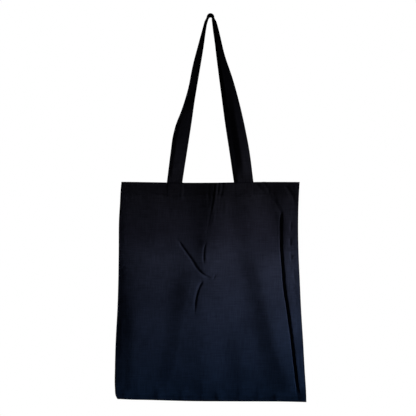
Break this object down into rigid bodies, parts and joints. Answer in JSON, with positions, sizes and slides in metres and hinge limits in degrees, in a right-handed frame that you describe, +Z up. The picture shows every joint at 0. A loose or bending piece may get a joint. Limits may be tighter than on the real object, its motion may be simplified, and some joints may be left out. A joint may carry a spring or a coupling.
{
  "type": "tote bag",
  "caption": "Plain black canvas tote bag with a flat sewn body, a turned hem and long strap handles, shown hung from a hook.",
  "frame": {"origin": "underside of the inner handle's bend, where the round of a hook bears", "axes": "+X to the bag's right seen from the front, +Y to its back, +Z up along the hanging bag"},
  "size_m": [0.368, 0.034, 0.7464],
  "materials": {
    "canvas": "matte plain weave",
    "thread": "matte twisted"
  },
  "bodies": {
    "bag": {"back_panel": "canvas", "back_hem": "canvas", "back_hem_stitching": "thread", "back_left_strap_end": "canvas", "back_right_strap_end": "canvas", "back_left_box_stitch": "thread", "back_right_box_stitch": "thread", "left_side_seam": "canvas", "right_side_seam": "canvas", "bottom_seam": "canvas", "left_overlock": "thread", "right_overlock": "thread", "bottom_overlock": "thread"},
    "front": {"front_panel": "canvas", "front_hem": "canvas", "front_hem_stitching": "thread", "front_left_strap_end": "canvas", "front_right_strap_end": "canvas", "front_left_box_stitch": "thread", "front_right_box_stitch": "thread"},
    "front_handle": {"front_handle": "canvas", "front_handle_stitching": "thread"},
    "back_handle": {"back_handle": "canvas", "back_handle_stitching": "thread"}
  },
  "joints": [
    {"name": "mouth_open", "type": "hinge", "parent": "bag", "child": "front", "pos_m": [0, 0, -0.74], "axis": [1, 0, 0], "range_deg": [0, 8], "stiffness_Nm_per_rad": 0.6, "springref_deg": -3.44},
    {"name": "front_handle_fold", "type": "hinge", "parent": "front", "child": "front_handle", "pos_m": [0, -0.0102, -0.3197], "axis": [1, 0, 0], "range_deg": [0, 170]},
    {"name": "back_handle_fold", "type": "hinge", "parent": "bag", "child": "back_handle", "pos_m": [0, 0.0102, -0.3197], "axis": [-1, 0, 0], "range_deg": [0, 170]}
  ]
}
